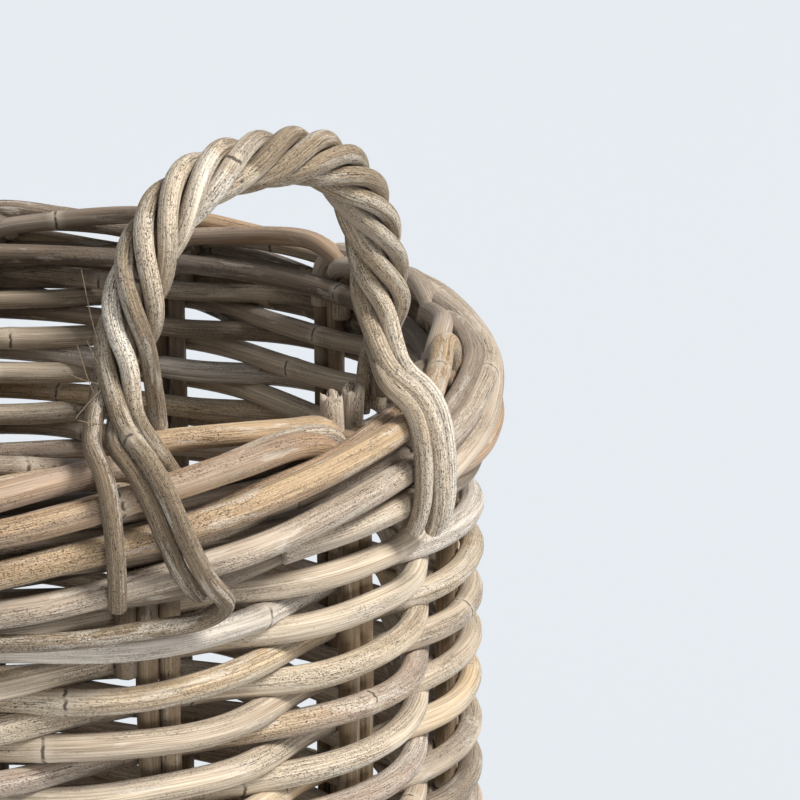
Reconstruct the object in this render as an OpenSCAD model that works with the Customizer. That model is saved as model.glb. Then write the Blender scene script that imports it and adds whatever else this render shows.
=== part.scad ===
// Round woven rattan laundry basket with two fixed twisted-cane handles.
// Z is up, Z = 0 is the floor, the handles stand over +X and -X.

/* [Wall] */
// Radius of the circle the upright stakes stand on, mm
stake_r = 184; // [160:1:210]
// Number of stake pairs round the wall
stake_pairs = 14; // [10:2:18]
// Diameter of one upright stake, mm
stake_d = 7.3; // [5:0.1:7.4]
// Distance between the two stakes of a pair, mm
stake_gap = 7.6; // [7.5:0.1:8]
// Diameter of one weaver rod, mm
weaver_d = 8; // [6:0.1:8.1]
// Height from one woven row to the next, mm
row_pitch = 8.25; // [8.2:0.05:10]
// Height of the lowest woven row, mm
row_low = 46.65; // [46:0.05:60]
// Rows woven by one rod before the next rod takes over
rows_per_rod = 3; // [3:1:3]
// Number of rods used in the side wall below the border
wall_rods = 12; // [2:2:12]
// Diameter of the thin cane woven behind the border, mm
thin_d = 4.6; // [4:0.1:4.6]

/* [Border] */
// Height of the top of the border, mm
crest_z = 400; // [360:1:440]
// Radius of the rolled border rods' centre line, mm
border_r = 198.4; // [198.4:0.1:199]
// Diameter of a rolled border rod, mm
border_d = 7.6; // [6:0.1:7.6]
// Angle a border rod runs round the basket, degrees
border_span = 88; // [70:1:90]
// Angle the thin rod behind it runs round the basket, degrees
border_thin_span = 60; // [40:1:60]
// Slope of the border rods, degrees
border_tilt = 8.6; // [8.6:0.1:9.5]
// Diameter of the rods of the border's top and inner ring, mm
ring_d = 7.8; // [6:0.1:7.8]

/* [Handles] */
// Angle of each handle leg either side of the handle's centre, degrees
leg_angle = 17.75; // [12:0.25:22]
// Radius on which the handle legs stand, mm
leg_r = 180.6; // [180:0.1:181]
// Height of the handle's centre line over its own foot, mm
arch_h = 89.8; // [60:0.1:120]
// Squareness of the handle's arch, 2 is an ellipse
arch_power = 2.9; // [2:0.1:4]
// Lean of the handle's top away from the basket, mm
arch_lean = 4.2; // [0:0.1:10]
// Number of strands wound round the core
strands = 5; // [5:1:5]
// Diameter of one handle strand, mm
strand_d = 6.3; // [5:0.1:6.4]
// Radius on which the strands wind, mm
wind_r = 6.6; // [6.4:0.1:7.4]
// Diameter of the handle's core cane, mm
core_d = 5.4; // [5:0.1:6]
// Length in which a strand goes about once round the core, mm
strand_lay = 72; // [60:1:90]

/* [Base] */
// Diameter of a base stick, mm
base_stick_d = 7; // [5:0.1:7.1]
// Distance between neighbouring base sticks at the centre, mm
base_stick_gap = 13; // [9:0.5:14]
// Diameter of a base weaver, mm
base_weaver_d = 7.8; // [6:0.1:7.8]
// Radius of the innermost ring woven round the base sticks, mm
base_ring_r = 66; // [64:1:70]

/* [Hidden] */
step = 360 / stake_pairs;
// the first stake pair stands beside the right handle's front leg
first_stake = -14.75;
// how far a weaver of diameter d swings to each side of the stakes
function swing_of(d) = (stake_d + d) / 2 + 0.1;
swing = swing_of(weaver_d);
// hairline joint between two lengths of one rod
cut = 0.03;
deg = 57.29578;

// a weaver bends round the outside of one pair and the inside of the next
bend_out = 92;
function out_c(d) = stake_r + swing_of(d) - bend_out;
function low_r(d) = stake_r - swing_of(d);
function bend_in(d) = let (c = out_c(d), l = low_r(d))
    (c * c + l * l - 2 * c * l * cos(step) - bend_out * bend_out) / (2 * bend_out - 2 * l + 2 * c * cos(step));
function in_c(d) = low_r(d) + bend_in(d);
function out_half(d) = atan2(in_c(d) * sin(step), in_c(d) * cos(step) - out_c(d));

// half width and foot height of a handle's arch
half_w = leg_r * sin(leg_angle);
arch_x = leg_r * cos(leg_angle);
arch_z = crest_z - 10;
arch_steps = 46;
// the winding starts and ends this far round the arch, in degrees
arch_from = 15;

// part of a ring of round rod, from angle a to angle b
module rod_arc(r, d, a, b) {
    rotate([0, 0, a])
    rotate_extrude(angle = b - a, $fn = 96)
    translate([r, 0])
    circle(d = d, $fn = 24);
}

// a ring of round rod laid in n lengths
module ring_of(r, d, z, n) {
    g = cut * deg / r;
    for (i = [0 : n - 1]) {
        translate([0, 0, z])
        rod_arc(r, d, i * 360 / n + g, (i + 1) * 360 / n - g);
    }
}

// one turn of weaver of diameter d, outside every second stake pair
module woven_row(k, d) {
    r = bend_in(d);
    outer = out_half(d) - cut * deg / bend_out;
    inner = out_half(d) - step - cut * deg / r;
    for (i = [0 : stake_pairs / 2 - 1]) {
        rotate([0, 0, first_stake + (2 * i + k) * step]) {
            translate([out_c(d), 0, 0])
            rod_arc(bend_out, d, -outer, outer);
            rotate([0, 0, step])
            translate([in_c(d), 0, 0])
            rotate([0, 0, 180])
            rod_arc(r, d, -inner, inner);
        }
    }
}

// row j of the wall: odd rows pass outside the first pair, even rows outside the second
module row(j, d) {
    translate([0, 0, row_low + j * row_pitch])
    woven_row(1 - j % 2, d);
}

// one rod of the wall: odd and even rods chase each other row by row
module weaver(n) {
    first = floor((n - 1) / 2) * 2 * rows_per_rod + (n - 1) % 2;
    color("burlywood")
    for (i = [0 : rows_per_rod - 1]) {
        row(first + 2 * i, weaver_d);
    }
}

// the last two rods: all but the lowest turn are thin cane hidden behind the border
module upper_weaver(n) {
    first = wall_rods * rows_per_rod;
    color("burlywood")
    for (j = [first + n - 1, first + n + 1]) {
        row(j, j == first ? weaver_d : thin_d);
    }
}

module stake_pair(n) {
    color("tan")
    rotate([0, 0, first_stake + (n - 1) * step])
    for (s = [-0.5, 0.5]) {
        translate([stake_r, s * stake_gap, 8.2])
        cylinder(h = crest_z - 9 - 8.2, d = stake_d, $fn = 32);
    }
}

// a short thin stick pushed down beside one stake pair under each handle
module inserted_sticks() {
    color("tan")
    for (side = [0, 180]) {
        rotate([0, 0, side + first_stake])
        translate([stake_r + 0.3, -10.15, crest_z - 78])
        cylinder(h = 62, d = 5, $fn = 32);
    }
}

// rod of the rolled border, running down from azimuth a
module sloping_rod(r, d, span, a) {
    rise = border_r * sin(border_span / 2) * sin(border_tilt);
    rotate([0, 0, a])
    translate([0, 0, crest_z - border_d / 2 - rise])
    rotate([border_tilt, 0, 0])
    rod_arc(r, d, -span / 2, span / 2);
}

// a thick rod starts at each stake pair, and a thin one lies in the groove behind it
module border_rods(n) {
    color("peru")
    for (side = [0, 180]) {
        a = side + first_stake + (n - 1) * step - border_span / 2;
        sloping_rod(border_r, border_d, border_span, a);
        sloping_rod(border_r - 3, thin_d, border_thin_span, a + step / 2);
    }
}

module border_top_ring() {
    color("peru")
    ring_of(stake_r + 3.9, ring_d, crest_z - ring_d / 2 - 0.1, 14);
}

module border_inner_ring() {
    color("sienna")
    ring_of(stake_r - swing, ring_d, crest_z - 20.6, 14);
}

module foot_ring() {
    color("sienna")
    difference() {
        translate([0, 0, 3.6])
        rotate_extrude($fn = 96)
        translate([stake_r, 0])
        circle(d = 9, $fn = 24);
        translate([0, 0, -5])
        cylinder(h = 5, r = stake_r + 20, $fn = 96);
    }
}

module wale(r) {
    color("peru")
    for (j = [0 : 3]) {
        ring_of(r, weaver_d, 12.6 + j * 8.3, 14);
    }
}

module bottom_wale_outer() {
    wale(stake_r + swing);
}

module bottom_wale_inner() {
    wale(stake_r - swing);
}

// straight round stick between two points
module stick(a, b, d) {
    v = b - a;
    len = norm(v);
    translate(a)
    rotate([0, acos(v[2] / len), atan2(v[1], v[0])])
    cylinder(h = len, d = d, $fn = 32);
}

// base sticks cross at the centre and open like a fan to the wall
module base_sticks(z) {
    far_z = 19.6;
    fan = 360 / (2 * stake_pairs);
    hub = 46;
    reach = stake_r - swing - weaver_d / 2 - 0.8;
    for (i = [-3 : 3]) {
        y = i * base_stick_gap;
        left = [-hub, y, z];
        right = [hub, y, z];
        stick(left, right, base_stick_d);
        stick(right, [reach * cos(i * fan), reach * sin(i * fan), far_z], base_stick_d);
        stick(left, [-reach * cos(i * fan), reach * sin(i * fan), far_z], base_stick_d);
        for (bend = [left, right]) {
            translate(bend - [0, 0, base_stick_d / 2 + 0.15])
            cylinder(h = base_stick_d + 0.3, d = base_stick_d + 0.8, $fn = 32);
        }
    }
}

module base_sticks_lower() {
    color("tan") base_sticks(15.9);
}

module base_sticks_upper() {
    color("tan") rotate([0, 0, 90]) base_sticks(23.5);
}

module base_weave_under() {
    color("burlywood")
    for (j = [0 : 6]) {
        ring_of(base_ring_r + 16 * j, base_weaver_d, 8.2, 8);
    }
}

module base_weave_over() {
    color("burlywood")
    for (j = [0 : 5]) {
        ring_of(base_ring_r + 8 + 16 * j, base_weaver_d, 31.4, 8);
    }
}

// centre line of a handle's arch at angle t, 0 at the front leg and 180 at the back leg
function arch_q(t) = pow(pow(abs(cos(t)), arch_power) + pow(abs(sin(t)), arch_power), -1 / arch_power);
function arch_pt(t) = [
    arch_x + arch_lean * arch_q(t) * sin(t),
    -half_w * arch_q(t) * cos(t),
    arch_z + arch_h * arch_q(t) * sin(t)
];
function arch_t(i) = arch_from + (180 - 2 * arch_from) * i / arch_steps;
arch_pts = [for (i = [0 : arch_steps]) arch_pt(arch_t(i))];
function run(i) = i == 0 ? 0 : run(i - 1) + norm(arch_pts[i] - arch_pts[i - 1]);
arch_run = [for (i = [0 : arch_steps]) run(i)];
function unit(v) = v / norm(v);
function arch_dir(i) = unit(arch_pts[min(i + 1, arch_steps)] - arch_pts[max(i - 1, 0)]);

// the strands wind left-handed from leg to leg, by a whole number of the steps between strands
turn_steps = round(strands * arch_run[arch_steps] / strand_lay);
lay = strands * arch_run[arch_steps] / turn_steps;
function wind_pt(i, phase) = let (
    a = phase - 360 * arch_run[i] / lay,
    t = arch_dir(i),
    out = [1, 0, 0],
    side = unit(cross(t, out))
) arch_pts[i] + wind_r * (cos(a) * out + sin(a) * side);

// a point at angle a, radius r and height z, moved w along the wall
function at(a, r, z, w) = [r * cos(a) - w * sin(a), r * sin(a) + w * cos(a), z];

// where a strand ends: three lie over the border, two go down into it
function tail_over(a, w0, w1) = [
    at(a, 187, crest_z + 8, w0),
    at(a, 194, crest_z + 7, w0 + (w1 - w0) * 0.2),
    at(a, 201, crest_z + 4.6, w0 + (w1 - w0) * 0.4),
    at(a, 205, crest_z - 0.5, w0 + (w1 - w0) * 0.55),
    at(a, 205.8, crest_z - 10, w0 + (w1 - w0) * 0.7),
    at(a, 205.8, crest_z - 28, w0 + (w1 - w0) * 0.9),
    at(a, 205.6, crest_z - 47, w1)
];
function tail_in(a, w) = [at(a, leg_r - 0.4, crest_z + 2, w), at(a, leg_r - 0.4, crest_z - 7, w)];
// the end that suits a strand which reaches its leg k steps of the winding from the outside
function tail(k, a) = k == 0 ? tail_over(a, 7, 13)
    : k == 4 ? tail_over(a, 0, 0)
    : k == 3 ? tail_over(a, -7, -12)
    : k == 1 ? tail_in(a, 7)
    : tail_in(a, -7);
function flip(p) = [for (i = [len(p) - 1 : -1 : 0]) p[i]];
function wrap(k) = k % strands < 0 ? k % strands + strands : k % strands;
function strand_line(k) = concat(
    flip(tail(wrap(k), -leg_angle)),
    [for (i = [0 : arch_steps]) wind_pt(i, 360 / strands * k)],
    tail(wrap(turn_steps - k), leg_angle)
);

// tube along a line of points; each section's normal is carried on from the last
function line_dir(p, i) = unit(p[min(i + 1, len(p) - 1)] - p[max(i - 1, 0)]);
function carry(n, t) = unit(n - t * (n * t));
function first_normal(t) = carry(abs(t[2]) > 0.9 ? [1, 0, 0] : [0, 0, 1], t);
function normals(p, i) = i == 0 ? [first_normal(line_dir(p, 0))]
    : let (before = normals(p, i - 1)) concat(before, [carry(before[i - 1], line_dir(p, i))]);

module tube(p, d, sides) {
    last = len(p) - 1;
    ns = normals(p, last);
    points = [
        for (i = [0 : last], j = [0 : sides - 1])
            let (t = line_dir(p, i), u = ns[i], v = cross(t, u), a = 360 * j / sides)
                p[i] + d / 2 * (cos(a) * u + sin(a) * v)
    ];
    skin = [
        for (i = [0 : last - 1], j = [0 : sides - 1], half = [0, 1])
            let (m = (j + 1) % sides, b = i * sides, c = b + sides)
                half == 0 ? [b + j, c + j, c + m] : [b + j, c + m, b + m]
    ];
    caps = [
        [for (j = [0 : sides - 1]) j],
        [for (j = [sides - 1 : -1 : 0]) last * sides + j]
    ];
    polyhedron(points = points, faces = concat(skin, caps), convexity = 8);
}

module strand(side, k) {
    color("wheat")
    rotate([0, 0, side])
    tube(strand_line(k), strand_d, 6);
}

module core(side) {
    foot_a = [at(-leg_angle, leg_r, crest_z - 7, 0)];
    foot_b = [at(leg_angle, leg_r, crest_z - 7, 0)];
    color("tan")
    rotate([0, 0, side])
    tube(concat(foot_a, arch_pts, foot_b), core_d, 8);
}

base_sticks_lower();
base_sticks_upper();
base_weave_under();
base_weave_over();
foot_ring();
bottom_wale_outer();
bottom_wale_inner();
inserted_sticks();
border_top_ring();
border_inner_ring();
core(0);  // handle_right_core
core(180);  // handle_left_core
for (k = [1 : stake_pairs]) {
    stake_pair(k);
}
for (k = [1 : wall_rods]) {
    weaver(k);
}
for (k = [1 : 2]) {
    upper_weaver(k);
}
for (k = [1 : stake_pairs / 2]) {
    border_rods(k);
}
for (k = [1 : strands]) {
    strand(0, k);
    strand(180, k);
}
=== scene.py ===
"""Round woven rattan laundry basket with two twisted-cane handles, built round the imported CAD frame."""
import math
import random

import bpy
import numpy as np
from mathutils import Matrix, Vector


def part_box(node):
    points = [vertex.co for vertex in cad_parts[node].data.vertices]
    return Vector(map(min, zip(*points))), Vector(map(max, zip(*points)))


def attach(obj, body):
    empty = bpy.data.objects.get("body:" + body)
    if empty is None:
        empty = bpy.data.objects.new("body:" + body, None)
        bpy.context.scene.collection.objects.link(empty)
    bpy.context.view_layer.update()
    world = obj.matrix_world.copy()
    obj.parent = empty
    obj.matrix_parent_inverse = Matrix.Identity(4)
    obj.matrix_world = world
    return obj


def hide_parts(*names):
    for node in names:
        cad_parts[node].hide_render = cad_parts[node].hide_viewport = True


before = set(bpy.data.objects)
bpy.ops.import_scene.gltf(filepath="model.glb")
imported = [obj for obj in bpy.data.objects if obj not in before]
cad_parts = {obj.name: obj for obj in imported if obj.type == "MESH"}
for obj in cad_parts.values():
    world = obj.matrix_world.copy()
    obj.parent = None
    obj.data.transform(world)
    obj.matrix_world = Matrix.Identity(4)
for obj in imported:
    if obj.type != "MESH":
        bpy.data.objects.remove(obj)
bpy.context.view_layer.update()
MM = 0.001
TURN = 2 * math.pi

# ---------------------------------------------------------------- what the CAD says
PAIRS = 14
STEP = TURN / PAIRS  # from one stake pair to the next


def middle(node):
    lo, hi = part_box(node)
    return (Vector(lo) + Vector(hi)) / 2


pair_mid = [middle(f"stake_pair_{k + 1}") for k in range(PAIRS)]
PAIR_AZ = [math.atan2(p.y, p.x) for p in pair_mid]
STAKE_R = sum(math.hypot(p.x, p.y) for p in pair_mid) / PAIRS
STAKE_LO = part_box("stake_pair_1")[0][2]
STAKE_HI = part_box("stake_pair_1")[1][2]
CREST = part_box("border_top_ring")[1][2]
ROW_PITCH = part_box("weaver_2")[0][2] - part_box("weaver_1")[0][2]
ROD_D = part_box("weaver_1")[1][2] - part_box("weaver_1")[0][2] - 4 * ROW_PITCH  # it spans five rows
ROW_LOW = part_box("weaver_1")[0][2] + ROD_D / 2
CORE_D = 5.4 * MM  # of the core cane in each handle
core_lo, core_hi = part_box("handle_right_core")
ARCH_HALF = (core_hi[1] - core_lo[1]) / 2 - CORE_D / 2
ARCH_TOP = core_hi[2] - CORE_D / 2

rng = random.Random(14)


# ---------------------------------------------------------------- lines
def polar(az, r, z, w=0.0):
    """A point at azimuth az and radius r, moved w along the wall."""
    return (r * math.cos(az) - w * math.sin(az), r * math.sin(az) + w * math.cos(az), z)


def around(n, at, start=0.0, part=0.999):
    """n steps round the basket, a hair short of the whole way; at(azimuth) gives each point."""
    return [at(start + TURN * i / n * part) for i in range(n + 1)]


def length_along(p):
    """How far along the line each of its points is."""
    return np.concatenate([[0.0], np.cumsum(np.linalg.norm(np.diff(p, axis=0), axis=1))])


def directions(p):
    """The line's direction at each of its points."""
    t = np.gradient(p, axis=0)
    t /= np.linalg.norm(t, axis=1)[:, None]
    return t


def sides_of(t):
    """Two directions across a line at each point, which turn as little as they can along it."""
    up = np.array([0.0, 0.0, 1.0]) if abs(t[0][2]) < 0.9 else np.array([1.0, 0.0, 0.0])
    u = np.zeros_like(t)
    u[0] = up - t[0] * up.dot(t[0])
    u[0] /= np.linalg.norm(u[0])
    for i in range(1, len(t)):
        w = u[i - 1] - t[i] * u[i - 1].dot(t[i])
        u[i] = w / np.linalg.norm(w)
    return u, np.cross(t, u)


def smooth(points, per=8):
    """Catmull-Rom curve through a few control points."""
    p = [np.array(q, dtype=float) for q in points]
    p = [2 * p[0] - p[1]] + p + [2 * p[-1] - p[-2]]
    out = []
    for i in range(1, len(p) - 2):
        p0, p1, p2, p3 = p[i - 1], p[i], p[i + 1], p[i + 2]
        for j in range(per):
            x = j / per
            out.append(0.5 * (2 * p1 + (p2 - p0) * x + (2 * p0 - 5 * p1 + 4 * p2 - p3) * x * x
                              + (3 * p1 - p0 - 3 * p2 + p3) * x ** 3))
    out.append(p[-2])
    return out


def even(points, gap):
    """The same line with points every gap metres."""
    p = np.asarray(points, dtype=float)
    s = length_along(p)
    x = np.linspace(0, s[-1], max(3, int(s[-1] / gap) + 1))
    return np.stack([np.interp(x, s, p[:, k]) for k in range(3)], axis=1)


def turned(line, angle):
    """The line turned by angle about the basket's axis."""
    c, s = math.cos(angle), math.sin(angle)
    return np.stack([line[:, 0] * c - line[:, 1] * s, line[:, 0] * s + line[:, 1] * c, line[:, 2]], axis=1)


# ---------------------------------------------------------------- cane strands
ENDS_REACH = (0.02, 0.10)  # metres from an end over which a strand goes from its end's diameter to its own
NO_JOINT = 0.5  # metres, far enough from a joint of the plant to show nothing of it
JOINT_SWELL, JOINT_REACH = 0.045, 0.0022  # how much thicker a joint is, and over how many metres
END_RIMS = ((0.93, 0.10), (0.6, 0.16))  # of the radius: how wide an end's rims are, how far they stand out
END_TIP = 0.12


class Cane:
    """Gathers many swept strands into one mesh, with the attributes the cane material reads."""

    def __init__(self, name, slot, body="root"):
        self.name, self.slot_name, self.body = name, slot, body
        self.verts, self.faces = [], []
        self.cane, self.tone, self.joint, self.worn = [], [], [], []

    def strand(self, pts, d, tone, sides=14, worn=0.3, cut=("flat", "flat"), oval=0.0, rings=(0.13, 0.26),
               wild=1.0):
        """Sweeps one cane along pts. tone picks its colour, worn how weathered it is.

        d is its diameter, or a pair: at its ends and past them. tone is one number, or points along the
        strand as (metres from its start, or from its end if negative; tone). cut says how each end looks,
        oval how far it is from round, rings how far apart its joints are, and wild how uneven it is.
        """
        p = np.asarray(pts, dtype=float)
        n = len(p)
        s = length_along(p)
        length = s[-1]
        t = directions(p)
        u, v = sides_of(t)
        if isinstance(d, tuple):
            d = np.interp(np.minimum(s, length - s), ENDS_REACH, d)
        if isinstance(tone, tuple):
            tone = np.interp(s, [x if x > 0 else length + x for x, _ in tone], [y for _, y in tone])
        else:
            tone = np.full(n, tone)
        near = self._near_joints(s, rings)
        phase = [rng.uniform(0, TURN) for _ in range(6)]
        slow = 0.018 * np.sin(s * 38 + phase[0]) + 0.014 * np.sin(s * 91 + phase[1])
        r = d / 2 * (1 + wild * slow + JOINT_SWELL * np.exp(-(near / JOINT_REACH) ** 2))
        lean = rng.uniform(0, TURN)
        base = len(self.verts)
        start = rng.uniform(0, 40)
        a = np.arange(sides) * TURN / sides
        for i in range(n):
            flat = 1 + oval * np.cos(2 * (a - lean - s[i] * 9))
            flat += wild * 0.012 * np.sin(3 * a + phase[2] + s[i] * 60)
            across, up = np.cos(a) * r[i] * flat, np.sin(a) * r[i] * flat
            self.verts.extend((p[i] + across[:, None] * u[i] + up[:, None] * v[i]).tolist())
            self.cane.extend([(across[k], up[k], start + s[i]) for k in range(sides)])
            self.joint.extend([near[i]] * sides)
        self.tone.extend(np.repeat(tone, sides).tolist())
        self.worn.extend([worn] * (n * sides))
        for i in range(n - 1):
            b, c = base + i * sides, base + (i + 1) * sides
            for k in range(sides):
                m = (k + 1) % sides
                self.faces.append((b + k, b + m, c + m, c + k))
        first, last = base, base + (n - 1) * sides
        self._end(p[0], -t[0], u[0], v[0], r[0], first, sides, start, tone[0], worn, True, cut[0])
        self._end(p[-1], t[-1], u[-1], v[-1], r[-1], last, sides, start + length, tone[-1], worn, False,
                  cut[1])

    def _near_joints(self, s, rings):
        """How far each point of a strand is from the nearest joint of the plant, less than 0 before it."""
        near = np.full(len(s), NO_JOINT)
        at = rng.uniform(0.02, rings[1])
        while at < s[-1]:
            off = s - at
            near = np.where(np.abs(off) < np.abs(near), off, near)
            at += rng.uniform(*rings)
        return near

    def _point(self, at, across, up, along, tone, worn):
        """Adds one point of an end."""
        self.verts.append(at.tolist())
        self.cane.append((across, up, along))
        self.joint.append(NO_JOINT)
        self.tone.append(tone)
        self.worn.append(worn)

    def _end(self, c, out, u, v, r, first, sides, s, tone, worn, flip, kind):
        """Closes a strand: a cut face with a softened edge, or a torn one with splinters."""
        a = np.arange(sides) * TURN / sides
        prev = list(range(first, first + sides))
        for scale, push in END_RIMS:
            now = len(self.verts)
            for k in range(sides):
                rag = rng.uniform(-0.9, 1.6) * r if kind == "torn" else rng.uniform(-0.05, 0.05) * r
                q = c + out * (push * r + rag * 0.6) + (math.cos(a[k]) * u + math.sin(a[k]) * v) * r * scale
                self._point(q, math.cos(a[k]) * r * scale, math.sin(a[k]) * r * scale, s, tone, worn)
            for k in range(sides):
                m = (k + 1) % sides
                f = (prev[k], prev[m], now + m, now + k)
                self.faces.append(f[::-1] if flip else f)
            prev = list(range(now, now + sides))
        tip = len(self.verts)
        self._point(c + out * (END_TIP * r), 0.0, 0.0, s, tone, worn)
        for k in range(sides):
            f = (prev[k], prev[(k + 1) % sides], tip)
            self.faces.append(f[::-1] if flip else f)

    def build(self, material, replaces=()):
        """Makes the mesh, which rides on the body and stands for the CAD nodes that it replaces."""
        mesh = bpy.data.meshes.new(self.name)
        mesh.from_pydata(self.verts, [], self.faces)
        mesh.validate()
        mesh.polygons.foreach_set("use_smooth", [True] * len(mesh.polygons))
        col = mesh.attributes.new("cane", "FLOAT_VECTOR", "POINT")
        col.data.foreach_set("vector", [x for q in self.cane for x in q])
        for key, values in (("tone", self.tone), ("joint", self.joint), ("worn", self.worn)):
            att = mesh.attributes.new(key, "FLOAT", "POINT")
            att.data.foreach_set("value", values)
        mesh.update()
        ob = bpy.data.objects.new(self.name, mesh)
        bpy.context.scene.collection.objects.link(ob)
        mesh.materials.append(material)
        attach(ob, self.body)
        if replaces:
            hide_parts(*replaces)
        return ob


# ---------------------------------------------------------------- material
def lin(c):
    """A screen colour, 0 to 255, as the linear colour that the shader takes."""
    return tuple(((x / 255 + 0.055) / 1.055) ** 2.4 if x > 10 else x / 255 / 12.92 for x in c) + (1.0,)


class Shader:
    """Adds nodes to a new material and joins them up."""

    def __init__(self, name):
        self.material = bpy.data.materials.new(name)
        self.material.use_nodes = True
        tree = self.material.node_tree
        self.nodes, self.links = tree.nodes, tree.links
        self.nodes.clear()
        self.cane = self.attribute("cane", "Vector")

    def put(self, value, socket):
        """Sets a socket to a number or a colour, or joins another node to it."""
        if isinstance(value, (int, float, tuple)):
            socket.default_value = value
        else:
            self.links.new(value, socket)

    def attribute(self, key, socket="Fac"):
        n = self.nodes.new("ShaderNodeAttribute")
        n.attribute_name = key
        return n.outputs[socket]

    def math(self, op, *values, clamp=False):
        n = self.nodes.new("ShaderNodeMath")
        n.operation = op
        n.use_clamp = clamp
        for i, x in enumerate(values):
            self.put(x, n.inputs[i])
        return n.outputs[0]

    def noise(self, scale, detail=2.0, roughness=0.5, warp=0.0):
        """Noise in the cane's own space: scale is per metre across it, across it and along it."""
        stretch = self.nodes.new("ShaderNodeVectorMath")
        stretch.operation = "MULTIPLY"
        self.put(self.cane, stretch.inputs[0])
        self.put(scale, stretch.inputs[1])
        n = self.nodes.new("ShaderNodeTexNoise")
        n.inputs["Scale"].default_value = 1.0
        n.inputs["Detail"].default_value = detail
        n.inputs["Roughness"].default_value = roughness
        n.inputs["Distortion"].default_value = warp
        self.put(stretch.outputs[0], n.inputs["Vector"])
        return n.outputs[0]

    def step(self, x, lo, hi, a=0.0, b=1.0):
        """Goes smoothly from a to b as x goes from lo to hi."""
        n = self.nodes.new("ShaderNodeMapRange")
        n.interpolation_type = "SMOOTHSTEP"
        for key, value in (("Value", x), ("From Min", lo), ("From Max", hi), ("To Min", a), ("To Max", b)):
            self.put(value, n.inputs[key])
        return n.outputs[0]

    def mix(self, fac, a, b, mode="MIX"):
        n = self.nodes.new("ShaderNodeMix")
        n.data_type = "RGBA"
        n.blend_type = mode
        n.clamp_factor = True
        for socket, x in ((n.inputs[0], fac), (n.inputs[6], a), (n.inputs[7], b)):
            self.put(x, socket)
        return n.outputs[2]

    def ramp(self, fac, tones):
        n = self.nodes.new("ShaderNodeValToRGB")
        n.color_ramp.interpolation = "EASE"
        els = n.color_ramp.elements
        for i, (pos, c) in enumerate(tones):
            e = els[i] if i < 2 else els.new(pos)
            e.position = pos
            e.color = lin(c)
        self.put(fac, n.inputs[0])
        return n.outputs[0]


def rod_colour(sh, tones):
    """Colour of the rod, drifting slowly along it."""
    drift = sh.noise((120, 120, 9), 2)
    drift = sh.math("MULTIPLY", sh.math("SUBTRACT", drift, 0.5), 0.42)
    return sh.ramp(sh.math("ADD", sh.attribute("tone"), drift, clamp=True), tones)


def add_fibres(sh, col, broad, fine, fibre):
    """Lengthwise fibres, broad and fine."""
    streaks = sh.mix(sh.step(broad, 0.30, 0.70), (0.80, 0.77, 0.73, 1), (1.10, 1.09, 1.07, 1))
    grooves = sh.mix(sh.step(fine, 0.32, 0.66), (0.48, 0.43, 0.38, 1), (1.10, 1.10, 1.10, 1))
    return sh.mix(fibre, sh.mix(1.0, col, streaks, "MULTIPLY"), grooves, "MULTIPLY")


def add_peel(sh, col, fine, worn):
    """Pale peeled skin with a crisp edge, and greyed patches. Also gives where the skin is peeled."""
    ragged = sh.noise((260, 260, 38), 5, 0.6, 0.4)
    peel = sh.step(sh.math("ADD", ragged, sh.math("MULTIPLY", worn, 0.13)), 0.62, 0.69)
    bare = sh.mix(fine, lin((196, 184, 166)), lin((226, 218, 206)))
    col = sh.mix(sh.math("MULTIPLY", peel, 0.42), col, bare)
    grey = sh.step(sh.noise((150, 150, 16), 3), 0.50, 0.72)
    return sh.mix(sh.math("MULTIPLY", grey, 0.35), col, lin((150, 141, 131))), peel


def add_dirt(sh, col, worn, speck):
    """Dark specks and short cracks gathered in patches, and a few large specks. Also gives the dirt."""
    patch = sh.noise((170, 170, 26), 3)
    patch = sh.step(sh.math("ADD", patch, sh.math("MULTIPLY", worn, 0.30)), 0.46, 0.76)
    dots = sh.step(sh.noise((2700, 2700, 1500), 4, 0.8), 0.525, 0.62)
    dashes = sh.step(sh.noise((3400, 3400, 110), 3, 0.7), 0.58, 0.68)
    dirt = sh.math("MULTIPLY", sh.math("MAXIMUM", dots, dashes), patch)
    dirt = sh.math("MULTIPLY", dirt, speck, clamp=True)
    col = sh.mix(dirt, col, lin((54, 43, 34)))
    scatter = sh.step(sh.noise((900, 900, 520), 3, 0.7), 0.685, 0.72)
    return sh.mix(sh.math("MULTIPLY", scatter, 0.65), col, lin((58, 42, 30))), dirt


def add_joints(sh, col):
    """Joints of the plant: a dark ragged line with a pale collar. Also gives the line."""
    wobble = sh.math("MULTIPLY", sh.math("SUBTRACT", sh.noise((420, 420, 60), 3), 0.5), 0.0022)
    away = sh.math("ABSOLUTE", sh.math("ADD", sh.attribute("joint"), wobble))
    line = sh.step(away, 0.0002, 0.0008, 1.0, 0.0)
    collar = sh.step(away, 0.0010, 0.0048, 1.0, 0.0)
    col = sh.mix(sh.math("MULTIPLY", collar, 0.35), col, lin((205, 192, 172)))
    line = sh.math("MULTIPLY", line, sh.step(sh.noise((300, 300, 3), 1), 0.35, 0.55))
    return sh.mix(sh.math("MULTIPLY", line, 0.85), col, lin((52, 38, 29))), line


def cane_roughness(sh, fine, dirt, peel):
    rough = sh.math("ADD", 0.62, sh.math("MULTIPLY", sh.math("SUBTRACT", fine, 0.5), 0.25))
    rough = sh.math("ADD", rough, sh.math("MULTIPLY", dirt, 0.22))
    return sh.math("SUBTRACT", rough, sh.math("MULTIPLY", peel, 0.08), clamp=True)


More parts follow.
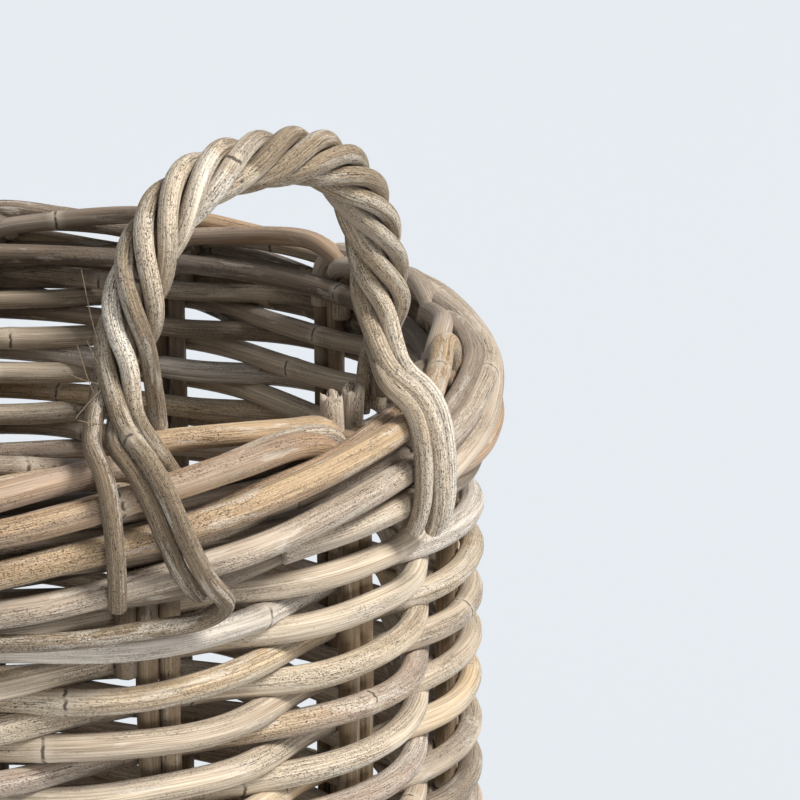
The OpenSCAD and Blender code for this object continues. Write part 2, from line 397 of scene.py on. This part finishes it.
def cane_bump(sh, fine, broad, dirt, peel, line):
    """Bump: fibres, pits, the edge of peeled skin, the joint's groove."""
    h = sh.math("ADD", sh.math("MULTIPLY", fine, 0.55), sh.math("MULTIPLY", broad, 0.6))
    for hollow, depth in ((dirt, 0.35), (peel, 0.22), (line, 0.9)):
        h = sh.math("SUBTRACT", h, sh.math("MULTIPLY", hollow, depth))
    bump = sh.nodes.new("ShaderNodeBump")
    bump.inputs["Strength"].default_value = 0.8
    bump.inputs["Distance"].default_value = 0.00045
    sh.put(h, bump.inputs["Height"])
    return bump.outputs[0]


def cane_material(name, tones, speck, fibre):
    """Dry rattan cane. speck is how dirty it is, fibre how deep its fine fibres are drawn."""
    sh = Shader(name)
    worn = sh.attribute("worn")
    broad = sh.noise((620, 620, 7), 3, 0.55)
    fine = sh.noise((2400, 2400, 26), 3, 0.6)
    col = add_fibres(sh, rod_colour(sh, tones), broad, fine, fibre)
    col, peel = add_peel(sh, col, fine, worn)
    col, dirt = add_dirt(sh, col, worn, speck)
    col, line = add_joints(sh, col)
    skin = sh.nodes.new("ShaderNodeBsdfPrincipled")
    skin.inputs["Specular IOR Level"].default_value = 0.34
    skin.inputs["Sheen Weight"].default_value = 0.08
    skin.inputs["Sheen Roughness"].default_value = 0.5
    sh.put(col, skin.inputs["Base Color"])
    sh.put(cane_roughness(sh, fine, dirt, peel), skin.inputs["Roughness"])
    sh.put(cane_bump(sh, fine, broad, dirt, peel, line), skin.inputs["Normal"])
    out = sh.nodes.new("ShaderNodeOutputMaterial")
    sh.put(skin.outputs[0], out.inputs["Surface"])
    return sh.material


# each cane's palette: tone, and its screen colour
WEAVER_TONES = [(0.0, (136, 121, 104)), (0.2, (170, 155, 136)), (0.4, (198, 183, 163)),
                (0.55, (205, 191, 170)), (0.7, (202, 179, 145)), (0.85, (186, 168, 152)),
                (1.0, (214, 206, 196))]
STAKE_TONES = [(0.0, (106, 90, 72)), (0.35, (138, 119, 95)), (0.7, (156, 135, 107)), (1.0, (170, 151, 127))]
BORDER_TONES = [(0.0, (112, 98, 84)), (0.2, (158, 143, 127)), (0.4, (190, 175, 158)), (0.55, (202, 187, 168)),
                (0.7, (192, 167, 134)), (0.85, (178, 150, 122)), (1.0, (172, 156, 144))]
HANDLE_TONES = [(0.0, (132, 115, 93)), (0.3, (172, 155, 130)), (0.6, (219, 204, 182)), (1.0, (238, 230, 217))]
BASE_TONES = [(0.0, (104, 90, 76)), (0.5, (146, 130, 111)), (1.0, (176, 161, 142))]

mat_weaver = cane_material("cane_weaver", WEAVER_TONES, 1.1, 0.75)
mat_stake = cane_material("cane_stake", STAKE_TONES, 0.8, 0.6)
mat_border = cane_material("cane_border", BORDER_TONES, 1.2, 0.75)
mat_handle = cane_material("cane_handle", HANDLE_TONES, 1.5, 0.85)
mat_base = cane_material("cane_base", BASE_TONES, 0.9, 0.5)

# ---------------------------------------------------------------- side wall
WALL_RODS = 12
ROWS_PER_ROD = 3
# the top rows are the ones seen close, so their tones and diameters in mm are chosen
TOP_ROWS = {36: (0.42, 8.8), 35: (1.00, 9.1), 34: (0.47, 8.8), 33: (0.62, 8.7), 32: (0.58, 8.9),
            31: (0.34, 9.0), 30: (0.84, 8.8), 29: (0.46, 8.8), 28: (0.52, 9.0), 27: (0.66, 8.7),
            26: (0.90, 8.8)}
HIDDEN_ROWS = 37  # from this row up the weaving lies behind the border and gets a darker tone, as painted shade
HIDDEN_D = 7.8
STAKE_D = 7.3  # mm, as in the CAD
PACKING_Z = (-21.0, -27.6, -35.4)  # mm over the crest, of the thin rods that pack the border from behind
PACKING_OUT = 6.3 * MM
PACKING_D = 6.4 * MM


def weave_row(cane, j):
    """One turn of weaver, outside every second stake pair, on the same level all round."""
    z0 = ROW_LOW + j * ROW_PITCH
    outer = 0 if j % 2 else 1
    tone, d = TOP_ROWS.get(j, (rng.uniform(0.1, 1.0), rng.uniform(8.7, 9.2)))
    # behind the border a row's tone drops to 0.4 of its own: painted shade
    if j >= HIDDEN_ROWS:
        tone, d = tone * 0.4, HIDDEN_D
    d *= MM
    swing = (STAKE_D * MM + min(d, ROD_D)) / 2 + 0.1 * MM
    ph = [rng.uniform(0, TURN) for _ in range(5)]
    start = PAIR_AZ[(1 - outer + 2 * rng.randrange(7)) % PAIRS]

    def at(a):
        c = math.cos(PAIRS / 2 * (a - PAIR_AZ[outer]))
        bend = c * (1.22 - 0.22 * c * c)
        r = STAKE_R + swing * bend + (0.35 * math.sin(5 * a + ph[0]) * max(c, 0)) * MM
        wave = 0.75 * math.sin(3 * a + ph[1]) + 0.5 * math.sin(7.3 * a + ph[2])
        wave += 0.35 * math.sin(17 * a + ph[3])
        return polar(a, r, z0 + wave * MM)

    cane.strand(around(330, at, start, 0.9995), d, tone, worn=rng.uniform(0.15, 0.75), oval=0.025)


def pack_border(cane):
    for z in PACKING_Z:
        line = around(260, lambda a: polar(a, STAKE_R + PACKING_OUT, CREST + z * MM))
        # tone 0.02, near the darkest of the palette: painted shade behind the border
        cane.strand(line, PACKING_D, 0.02, sides=10, worn=0.2)


for k in range(WALL_RODS):
    rod = Cane(f"woven_rod_{k + 1}", "weaver_cane")
    first = k // 2 * 2 * ROWS_PER_ROD + k % 2
    for i in range(ROWS_PER_ROD):
        weave_row(rod, first + 2 * i)
    rod.build(mat_weaver, (f"weaver_{k + 1}",))
for k in range(2):
    rod = Cane(f"woven_rod_{WALL_RODS + k + 1}", "weaver_cane")
    first = WALL_RODS * ROWS_PER_ROD + k
    for j in (first, first + 2):
        weave_row(rod, j)
    if k:
        pack_border(rod)
    rod.build(mat_weaver, (f"upper_weaver_{k + 1}",))

# ---------------------------------------------------------------- stakes
STAKE_GAP = 7.6  # mm between the two stakes of a pair
STAKE_POINTS = 40
THIRD_STICK_D = 6.6 * MM


def stake_line(k, side):
    """One stake of pair k, a little wavy, ending 5 mm lower than in the CAD."""
    ph = rng.uniform(0, TURN)
    pts = []
    for i in range(STAKE_POINTS):
        z = STAKE_LO + (STAKE_HI - STAKE_LO - 5 * MM) * i / (STAKE_POINTS - 1)
        w = side * STAKE_GAP * MM + 0.25 * MM * math.sin(z * 55 + ph)
        pts.append(polar(PAIR_AZ[k], STAKE_R + 0.15 * MM * math.sin(z * 40 + ph), z, w))
    return even(pts, 6 * MM)


for k in range(PAIRS):
    pair = Cane(f"stakes_{k + 1}", "stake_cane")
    for side in (-0.5, 0.5):
        d = rng.uniform(6.9, 7.3) * MM
        pair.strand(stake_line(k, side), d, rng.uniform(0.15, 0.9), worn=rng.uniform(0, 0.4), oval=0.02)
    pair.build(mat_stake, (f"stake_pair_{k + 1}",))

extra = Cane("third_sticks", "stake_cane")
for k in (0, PAIRS // 2):
    pts = [polar(PAIR_AZ[k], STAKE_R + 0.2 * MM, CREST - z * MM, -11.2 * MM) for z in range(20, 80, 4)]
    extra.strand(pts, THIRD_STICK_D, 0.4, worn=0.2)
extra.build(mat_stake, ("inserted_sticks",))

# ---------------------------------------------------------------- border
THICK_D, THICK_REACH = 8.8, 13.6  # mm: a thick rod's diameter, and how far out of the stakes' ring it lies
THIN_D, THIN_REACH = 7.6, 8.4
THIN_LOW = 6.6  # mm, how much lower the thin rods start
THICK_SHIFT, THIN_SHIFT = -0.05, 0.09  # where they start, in stake pairs to the left of their own pair
ROD_SPAN = 3.5  # stake pairs that a thick border rod passes
LONG_ROD, LONG_SPAN = 3, 4.15  # one thick rod is longer
THIN_SPAN = 2.5
TUCK = 0.7  # over this last part a rod slips behind the ones below it
# for the thick rods that start at some stake pairs: tone, how much lower they start before they catch
# up, how much higher they lie, mm
SEEN_RODS = {1: (0.82, 19.0, 3.0), 2: (0.70, 0.0, 1.6), 3: (0.44, 3.0, -1.0), 4: (0.50, 2.0, -1.0),
             5: (0.8, 0, 0), 0: (0.92, 6.0, 0.5)}
SHADED_FAR_RODS = range(6, 11)  # the rods on the far side are given a greyer, darker tone as painted shade
FAR_SHADE_TONE = 0.04
THIN_TONES = {2: 0.80, 3: 0.28}  # chosen tones of the thin rods


def rod_z(p):
    """Height over the crest, in mm, of a border rod p stake pairs after its start."""
    q = max(p - 0.2, 0)
    return -4.4 - 14 * q + 0.6 * q * q


def ease(x):
    """From 0 to 1 with a soft start and end."""
    return x * x * (3 - 2 * x)


def rod_line(g, shift, span, low, reach, lift):
    """Centre line of a border rod: up beside stake pair g, over to the left and down round the basket."""
    ph = rng.uniform(0, TURN)
    steps = [p for p in (0.2, 0.45, 0.8, 1.2, 1.6, 2.0, 2.4, 2.8) if p < span - TUCK]
    steps += [span - TUCK, span - TUCK / 2, span]
    pts = [(0.0, 0.0, -26 - low + lift), (0.01, -0.2, -14 - low + lift), (0.06, 0.2, -7 - low + lift)]
    for p in steps:
        out = ease(min(1.0, max(0.0, (p - 0.1) / 0.9))) * reach
        tuck = max(0.0, (p - span + TUCK) / TUCK)
        out -= tuck * tuck * (reach - 2)
        late = ease(1 - min(1, p / 0.72)) * low
        wave = 0.5 * math.sin(9 * p + ph)
        pts.append((p, out + 0.3 * math.sin(6 * p + ph), rod_z(p) - late + wave + lift))
    line = [polar(PAIR_AZ[g] - (p + shift) * STEP, STAKE_R + r * MM, CREST + z * MM) for p, r, z in pts]
    return even(smooth(line, 8), 3 * MM)


for k in range(PAIRS // 2):
    part = Cane(f"rolled_border_{k + 1}", "border_cane")
    for g in (k, k + PAIRS // 2):
        tone, low, lift = SEEN_RODS.get(g, (rng.uniform(0.1, 1.0), 0, 0))
        # rods on the far side take the dark tone of painted shade
        tone = FAR_SHADE_TONE if g in SHADED_FAR_RODS else tone
        thick = rod_line(g, THICK_SHIFT, LONG_SPAN if g == LONG_ROD else ROD_SPAN, low, THICK_REACH, lift)
        part.strand(thick, THICK_D * MM, tone, worn=rng.uniform(0.2, 0.8), oval=0.03)
        thin = rod_line(g, THIN_SHIFT, THIN_SPAN, THIN_LOW, THIN_REACH, 0)
        part.strand(thin, THIN_D * MM, THIN_TONES.get(g, (tone + rng.uniform(-0.35, 0.2)) % 1.0),
                    worn=rng.uniform(0.2, 0.8), oval=0.03)
    part.build(mat_border, (f"border_rods_{k + 1}",))

# the rods on top of the border, each from its own stake pair to the next on the left:
# stake pairs passed, mm out of the stakes' ring, mm over the crest
TOP_RISE = ((0.10, -3.0, -14), (0.16, -4.4, -10.5), (0.35, -4.2, -8.2), (0.6, -4.0, -5.4), (0.85, -3.8, -3.4))
TOP_UNDER = ((1.0, -3.6, -4.6), (1.14, -3.2, -9.0), (1.2, -3, -13))  # its end slips under the next rod
TOP_OPEN = ((0.97, -3.6, -3.0),)  # its end lies open
OPEN_ROD, BROKEN_ROD = 1, 2  # the rod whose end lies open, and the one that is broken off short
# the stake pairs whose broken tops show, and about how many mm over the crest they reach
STUMPS = {1: -4.5, 5: -4.0, 8: -2.0, 12: -3.0}
STUMP_D = 7.6 * MM


def top_rod_line(g):
    course = TOP_RISE + (TOP_OPEN if g == OPEN_ROD else TOP_UNDER)
    if g == BROKEN_ROD:
        course = course[:4]
    pts = [polar(PAIR_AZ[g] - p * STEP, STAKE_R + r * MM, CREST + z * MM) for p, r, z in course]
    return even(smooth(pts, 8), 3 * MM)


def stump_line(g, w, rise):
    """The frayed top of a stake, w mm along the wall from its pair's middle, leaning away from it."""
    tall = rise + rng.uniform(-1.5, 1.5)
    pts = [polar(PAIR_AZ[g], STAKE_R - 5.0 * MM, CREST - z * MM, (w + (26 - z) * w * 0.02) * MM)
           for z in (26, 18, 11, 6, -tall)]
    return even(smooth(pts, 4), 2 * MM)


top = Cane("border_top_rods", "border_cane")
for g in range(PAIRS):
    d = rng.uniform(7.2, 7.9) * MM
    tone = 0.7 if g == OPEN_ROD else rng.uniform(0.0, 0.9)
    # rods on the far side take the dark tone of painted shade
    tone = FAR_SHADE_TONE if g in SHADED_FAR_RODS else tone
    top.strand(top_rod_line(g), d, tone, worn=0.15, cut=("flat", "torn"))
for g, rise in STUMPS.items():
    for w in (-4.0, 4.0):
        top.strand(stump_line(g, w, rise), STUMP_D, 0.5, worn=0.5, cut=("flat", "torn"), rings=(1, 2))
top.build(mat_border, ("border_top_ring",))

INNER_IN, INNER_LOW, INNER_D = 7.8 * MM, 20.6 * MM, 8.2 * MM
inner = Cane("border_inner_rod", "border_cane")
ph = rng.uniform(0, TURN)
line = around(260, lambda a: polar(a, STAKE_R - INNER_IN + 0.4 * MM * math.sin(4 * a + ph),
                                   CREST - INNER_LOW + 0.5 * MM * math.sin(5 * a + ph)), ph)
# tone 0.05, near the darkest of the palette: painted shade inside the rim
inner.strand(line, INNER_D, 0.05, worn=0.5)
inner.build(mat_border, ("border_inner_ring",))

# ---------------------------------------------------------------- handles
LEG_R = 180.6  # mm from the basket's axis
LEG_AZ = math.asin(ARCH_HALF / (LEG_R * MM))
ARCH_POWER = 2.9  # squareness of the arch, 2 is an ellipse
ARCH_FOOT = CREST - 10 * MM
ARCH_RISE = ARCH_TOP - ARCH_FOOT
ARCH_LEAN = 4.2 * MM
ROPE_R = 6.55 * MM  # the winding's radius
LOOSE = (1.1 * MM, 0.7 * MM)  # how much wider the winding gets down the front leg and the back leg
LOOSE_PART = 0.4  # over this part of the winding's length, at each leg
STRANDS = 5
STRAND_D = (5.9 * MM, 6.4 * MM)  # at its ends and past them
BOW_D = 6.9 * MM
WIND = 972  # degrees that a strand turns round the bow from leg to leg
FIRST_TURN = 20  # degrees from the outside, where the first strand leaves the front leg
PART_Z = 15 * MM  # the strands part this far over the crest

# a strand's end rounds the border's section, which is a squared half ellipse, in mm
OVER_REACH = THICK_REACH + THICK_D / 2 + 3.4  # past the thick rods by just over a strand's radius
OVER_MID, OVER_HALF = -25, 29  # heights over the crest: its middle, and half of it with the strand
OVER_SQUARE = 0.77  # 1 is a plain ellipse
OVER_FOOT = 135  # degrees round the section where the end tucks in
INSIDE_TOP, INSIDE_LOW = 8, -14  # mm over the crest, of the ends that go down behind the border
RUN_LOW, RUN_LEFT = -56, -50  # mm over the crest and along the wall, to where the longest end runs on


def arch(t):
    """The bow's centre line at angle t, 0 at the front leg and half a turn at the back leg."""
    q = (abs(math.cos(t)) ** ARCH_POWER + abs(math.sin(t)) ** ARCH_POWER) ** (-1 / ARCH_POWER)
    x = LEG_R * MM * math.cos(LEG_AZ) + ARCH_LEAN * q * math.sin(t)
    return np.array([x, -ARCH_HALF * q * math.cos(t), ARCH_FOOT + ARCH_RISE * q * math.sin(t)])


def front_leg(w, r, z):
    """A point w mm along the wall from the front leg, r mm from the basket's axis, z mm over the crest."""
    return np.array(polar(-LEG_AZ, r * MM, CREST + z * MM, w * MM))


def back_leg(w, r, z):
    return np.array(polar(LEG_AZ, r * MM, CREST + z * MM, w * MM))


def over_border(leg, cross, end, out=0.0):
    """Course of a strand's end over the border, in mm: it crosses the crest at cross along the wall from the
    leg and curves away to end at the border's foot. out is how far it lies over the strands beneath it."""
    course = []
    for deg in (15, 40, 65, 90, 115, OVER_FOOT):
        x, z = math.sin(math.radians(deg)), math.cos(math.radians(deg))
        r = STAKE_R / MM + (OVER_REACH + out) * x ** OVER_SQUARE
        z = OVER_MID + (OVER_HALF + out) * math.copysign(abs(z) ** OVER_SQUARE, z)
        course.append(leg(cross + (end - cross) * (deg / OVER_FOOT) ** 2, r, z))
    return course


def down_inside(leg, start, end, r):
    """Course of a strand's end down behind the border, from start to end along the wall from the leg."""
    drop = INSIDE_LOW - INSIDE_TOP
    return [leg(start + (end - start) * x, r - 3 * x, INSIDE_TOP + drop * x) for x in (0, 0.5, 1)]


# how each strand ends at the front leg and at the back leg, in mm along the wall from the leg
FRONT_ENDS = (
    down_inside(front_leg, 3, 17, 185),
    down_inside(front_leg, 13, 16, 178),
    over_border(front_leg, -7, 17),
    over_border(front_leg, -14, -10),
    over_border(front_leg, -4, 26, 4) + [front_leg(w, 200, RUN_LOW) for w in (18, 0, -20)]
    + [front_leg(RUN_LEFT + 14, 196, RUN_LOW), front_leg(RUN_LEFT, 190, RUN_LOW)],
)
BACK_ENDS = (
    over_border(back_leg, -18, -14),
    down_inside(back_leg, 0, 0, 176),
    down_inside(back_leg, 7, 7, 178),
    over_border(back_leg, -7, 1, 2),
    over_border(back_leg, -16, -5, 3),
)
# each strand's tones along it, as Cane.strand takes them: darker at the front leg, pale over the top, dark
# just above the back leg as painted shade, and paler again at the back ends
BACK_LEG_SHADE_TONES = ((-0.23, 0.62), (-0.17, 0.22), (-0.10, 0.22))
STRAND_TONES = (
    ((0.02, 0.25), (0.035, 0.6), (0.05, 0.97), (0.12, 0.95), *BACK_LEG_SHADE_TONES, (-0.05, 0.5)),
    ((0.06, 0.15), (0.13, 0.68), *BACK_LEG_SHADE_TONES, (-0.05, 0.3)),
    ((0.08, 0.06), (0.14, 0.78), *BACK_LEG_SHADE_TONES, (-0.05, 0.4)),
    ((0.08, 0.04), (0.15, 0.68), *BACK_LEG_SHADE_TONES, (-0.05, 0.85)),
    ((0.17, 0.14), (0.25, 0.90), *BACK_LEG_SHADE_TONES, (-0.05, 0.6)),
)

arch_pts = [arch(math.radians(t)) for t in np.linspace(8, 172, 1200)]
arch_pts = even(np.array([q for q in arch_pts if q[2] > CREST + PART_Z]), 2.5 * MM)
arch_s = length_along(arch_pts)
arch_t = directions(arch_pts)


def wound(phase):
    """A strand's centre line, wound left-handed round the bow from phase at the front leg."""
    out = np.array([1.0, 0.0, 0.0])
    pts = []
    for p, t, s in zip(arch_pts, arch_t, arch_s):
        side = np.cross(t, out)
        side /= np.linalg.norm(side)
        a = phase - math.radians(WIND) * s / arch_s[-1]
        x = s / arch_s[-1]
        down_front, down_back = max(0, 1 - x / LOOSE_PART), max(0, 1 - (1 - x) / LOOSE_PART)
        r = ROPE_R + LOOSE[0] * down_front + LOOSE[1] * down_back
        pts.append(p + r * (math.cos(a) * out + math.sin(a) * side))
    return pts


def strand_line(k):
    """Strand k of a handle from end to end, with the bends where its parts meet worn smooth."""
    coil = wound(math.radians(FIRST_TURN) + TURN * k / STRANDS)
    line = even(smooth(FRONT_ENDS[k][::-1] + coil[4:-4:2] + BACK_ENDS[k], 6), 2.0 * MM)
    for _ in range(8):
        line[1:-1] = line[1:-1] * 0.5 + (line[:-2] + line[2:]) * 0.25
    return line


def handle(angle, name):
    """A handle's strands and its bow, turned by angle about the basket's axis."""
    for k in range(STRANDS):
        c = Cane(f"{name}_strand_{k + 1}", "handle_cane")
        c.strand(turned(strand_line(k), angle), STRAND_D, STRAND_TONES[k], sides=18, worn=0.85, oval=0.03,
                 rings=(0.2, 0.42))
        c.build(mat_handle, (f"{name}_strand_{k + 1}",))
    c = Cane(f"{name}_bow", "handle_cane")
    line = even([front_leg(0, LEG_R, -7)] + list(arch_pts) + [back_leg(0, LEG_R, -7)], 4 * MM)
    c.strand(turned(line, angle), BOW_D, 0.0, sides=10)
    c.build(mat_handle, (f"{name}_core",))


handle(0.0, "handle_right")
handle(math.pi, "handle_left")

# loose fibres beside the right handle's front leg: where each leaves it, then how far it runs to the left
# and up, in mm
FIBRES = ((-9, 186, 14, -7, 19), (-9, 187, 20, -12, 6), (-9, 188, 18, -9, -7), (-9, 186, 34, -5, 22),
          (-8, 190, 8, -10, 3), (-8, 189, 24, -6, 11))
FIBRE_D = 0.26 * MM
hairs = Cane("loose_fibres", "handle_cane")
for w, r, z, dw, dz in FIBRES:
    pts = [front_leg(w, r, z),
           front_leg(w + dw * 0.5, r + 1.5, z + dz * 0.4),
           front_leg(w + dw, r + 2, z + dz)]
    hairs.strand(even(smooth(pts, 6), 1.5 * MM), FIBRE_D, 0.1, sides=5, rings=(1, 2))
hairs.build(mat_handle)

# ---------------------------------------------------------------- base
WALE_OUT = 7.75  # mm that one wale lies outside the stakes' ring, and the other inside
WALE_LOW, WALE_PITCH, WALE_D = 12.6 * MM, 8.3 * MM, 7.8 * MM
FOOT_Z, FOOT_D = 3.6 * MM, 8.9 * MM
STICK_GAP = 13.0  # mm between the base sticks at the centre
STICK_REACH, STICK_END_Z = 170.6, 19.6  # mm, where they end at the wall
STICK_D = 6.9 * MM
RING_D = 7.5 * MM

for name, node, out in (("wale_outside", "bottom_wale_outer", WALE_OUT),
                        ("wale_inside", "bottom_wale_inner", -WALE_OUT)):
    wale = Cane(name, "base_cane")
    for j in range(4):
        ph = rng.uniform(0, TURN)
        z = WALE_LOW + j * WALE_PITCH
        line = around(260, lambda a: polar(a, STAKE_R + out * MM + 0.5 * MM * math.sin(14 * a + ph),
                                           z + 0.5 * MM * math.sin(7 * a + ph)), ph)
        wale.strand(line, WALE_D, rng.uniform(0.2, 0.9), worn=rng.uniform(0.2, 0.6), oval=0.02)
    wale.build(mat_base, (node,))

# the foot ring keeps its flat worn underside
foot = Cane("foot_rod", "base_cane")
line = around(260, lambda a: polar(a, STAKE_R, FOOT_Z), part=0.9995)
foot.strand(line, FOOT_D, 0.3, sides=16, worn=0.6, wild=0.2)
foot.verts = [(x, y, max(z, 0.0)) for x, y, z in foot.verts]
foot.build(mat_base, ("foot_ring",))


def stick_line(i, z):
    """Control points, in mm, of base stick i from the middle one, at height z and fanned out to the wall."""
    y = i * STICK_GAP
    fan = math.radians(i * 360 / (2 * PAIRS))
    end_y = STICK_REACH * math.sin(fan)
    half = [(20, y, z), (50, y * 1.03, z),
            (110 * math.cos(fan), y + (end_y - y) * 0.5, (z + STICK_END_Z) / 2),
            (STICK_REACH * math.cos(fan), end_y, STICK_END_Z)]
    return np.array([(-x, y, z) for x, y, z in half[::-1]] + half)


for name, node, angle, z in (("base_lower", "base_sticks_lower", 0.0, 15.9),
                             ("base_upper", "base_sticks_upper", 0.5 * math.pi, 23.5)):
    sticks = Cane(name, "base_cane")
    for i in range(-3, 4):
        line = even(smooth(turned(stick_line(i, z), angle) * MM, 8), 5 * MM)
        sticks.strand(line, STICK_D, rng.uniform(0.1, 0.8), worn=rng.uniform(0.1, 0.6))
    sticks.build(mat_base, (node,))

# rings of cane under and over the sticks: height and radii in mm
for name, node, z, radii in (("base_rings_under", "base_weave_under", 8.2, range(66, 163, 16)),
                             ("base_rings_over", "base_weave_over", 31.2, range(74, 155, 16))):
    weave = Cane(name, "base_cane")
    for r in radii:
        ph = rng.uniform(0, TURN)
        line = around(int(r * 1.3), lambda a: polar(a, (r + 0.5 * math.sin(3 * a + ph)) * MM,
                                                    z * MM + 0.45 * MM * math.sin(14 * a)), ph)
        weave.strand(line, RING_D, rng.uniform(0.1, 0.9), worn=rng.uniform(0.2, 0.6))
    weave.build(mat_base, (node,))


# ---------------------------------------------------------------- floor, light, camera
def heading(azimuth, height):
    """The direction towards azimuth and height over the horizon, in degrees."""
    az, up = math.radians(azimuth), math.radians(height)
    return Vector((math.cos(az) * math.cos(up), math.sin(az) * math.cos(up), math.sin(up)))


def aim(ob, way):
    ob.rotation_mode = "QUATERNION"
    ob.rotation_quaternion = way.to_track_quat("-Z", "Y")


def far_light(name, energy, angle, azimuth, height):
    """A round light far away in that direction, angle degrees wide."""
    data = bpy.data.lights.new(name, "SUN")
    data.energy = energy
    data.angle = math.radians(angle)
    data.color = (1.0, 0.985, 0.96)
    ob = bpy.data.objects.new(name, data)
    bpy.context.scene.collection.objects.link(ob)
    aim(ob, -heading(azimuth, height))


bpy.ops.mesh.primitive_plane_add(size=60, location=(0, 0, 0))
floor = bpy.context.object
floor.name = "floor"
floor_paint = bpy.data.materials.new("pale_floor")
floor_paint.use_nodes = True
floor_skin = floor_paint.node_tree.nodes["Principled BSDF"]
floor_skin.inputs["Base Color"].default_value = lin((191, 196, 201))
floor_skin.inputs["Roughness"].default_value = 0.9
floor_skin.inputs["Specular IOR Level"].default_value = 0.1
floor.data.materials.append(floor_paint)

world = bpy.data.worlds.new("studio")
bpy.context.scene.world = world
world.use_nodes = True
sky = world.node_tree.nodes["Background"]
sky.inputs["Color"].default_value = (0.93, 0.96, 1.0, 1)
sky.inputs["Strength"].default_value = 0.42

# one broad soft light from high on the right
far_light("softbox", 4.5, 22, 27, 53)
# light thrown back up by the pale floor in front; it passes through the floor and leaves the inside dark
far_light("floor_bounce", 0.95, 24, -20, -9)
floor.visible_shadow = False

CAM_AZ = math.radians(-35.35)
CAM_AWAY, CAM_OVER_CREST = 1.130, 0.281  # metres
cam_data = bpy.data.cameras.new("camera")
cam_data.sensor_width = 36
cam_data.lens = 146.0
cam_data.clip_start, cam_data.clip_end = 0.05, 100
cam = bpy.data.objects.new("camera", cam_data)
bpy.context.scene.collection.objects.link(cam)
cam.location = (CAM_AWAY * math.cos(CAM_AZ), CAM_AWAY * math.sin(CAM_AZ), CREST + CAM_OVER_CREST)
aim(cam, heading(136.26, -15.71))
bpy.context.scene.camera = cam
bpy.context.scene.view_settings.view_transform = "Standard"
bpy.context.scene.view_settings.look = "None"
